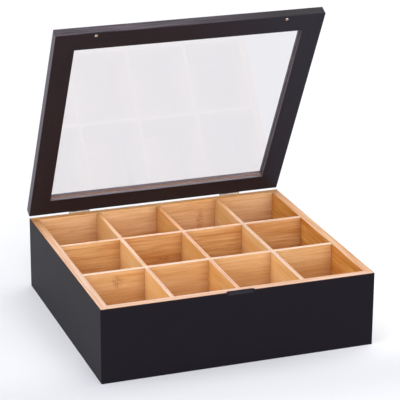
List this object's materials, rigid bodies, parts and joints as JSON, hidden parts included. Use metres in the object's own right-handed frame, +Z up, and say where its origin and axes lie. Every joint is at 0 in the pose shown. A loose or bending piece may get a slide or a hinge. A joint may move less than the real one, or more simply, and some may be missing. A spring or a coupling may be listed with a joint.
{
  "type": "tea bag organizer box",
  "caption": "Painted bamboo box with a grid of open tea bag compartments and a hinged lid framed round a clear window.",
  "frame": {"origin": "centre of the box's underside, on the surface that it stands on", "axes": "+Z up, +X to the right along the front, +Y to the back, where the hinges are"},
  "size_m": [0.33, 0.3128, 0.3633],
  "materials": {
    "painted_wall": "satin black paint outside, varnished natural bamboo on the rim and inside",
    "painted_lid": "satin black paint",
    "natural_bamboo": "varnished natural bamboo",
    "clear_pane": "clear polished pane",
    "hinge_nickel": "plated, slightly warm",
    "stud_nickel": "plated, polished dome"
  },
  "bodies": {
    "box": {"front_wall": "painted_wall", "back_wall": "painted_wall", "left_wall": "painted_wall", "right_wall": "painted_wall", "bottom_panel": "natural_bamboo", "long_divider_1": "natural_bamboo", "long_divider_2": "natural_bamboo", "long_divider_3": "natural_bamboo", "cross_divider_1": "natural_bamboo", "cross_divider_2": "natural_bamboo", "left_hinge_box_leaf": "hinge_nickel", "left_hinge_pin": "hinge_nickel", "right_hinge_box_leaf": "hinge_nickel", "right_hinge_pin": "hinge_nickel", "hinge_screws_box": "hinge_nickel"},
    "lid": {"lid_front_rail": "painted_lid", "lid_back_rail": "painted_lid", "lid_left_stile": "painted_lid", "lid_right_stile": "painted_lid", "window_pane": "clear_pane", "left_rest_stud": "stud_nickel", "right_rest_stud": "stud_nickel", "left_hinge_lid_leaf": "hinge_nickel", "right_hinge_lid_leaf": "hinge_nickel", "hinge_screws_lid": "hinge_nickel"}
  },
  "joints": [
    {"name": "lid_hinge", "type": "hinge", "parent": "box", "child": "lid", "pos_m": [0, 0.1519, 0.0905], "axis": [-1, 0, 0], "range_deg": [-62, 118]}
  ]
}
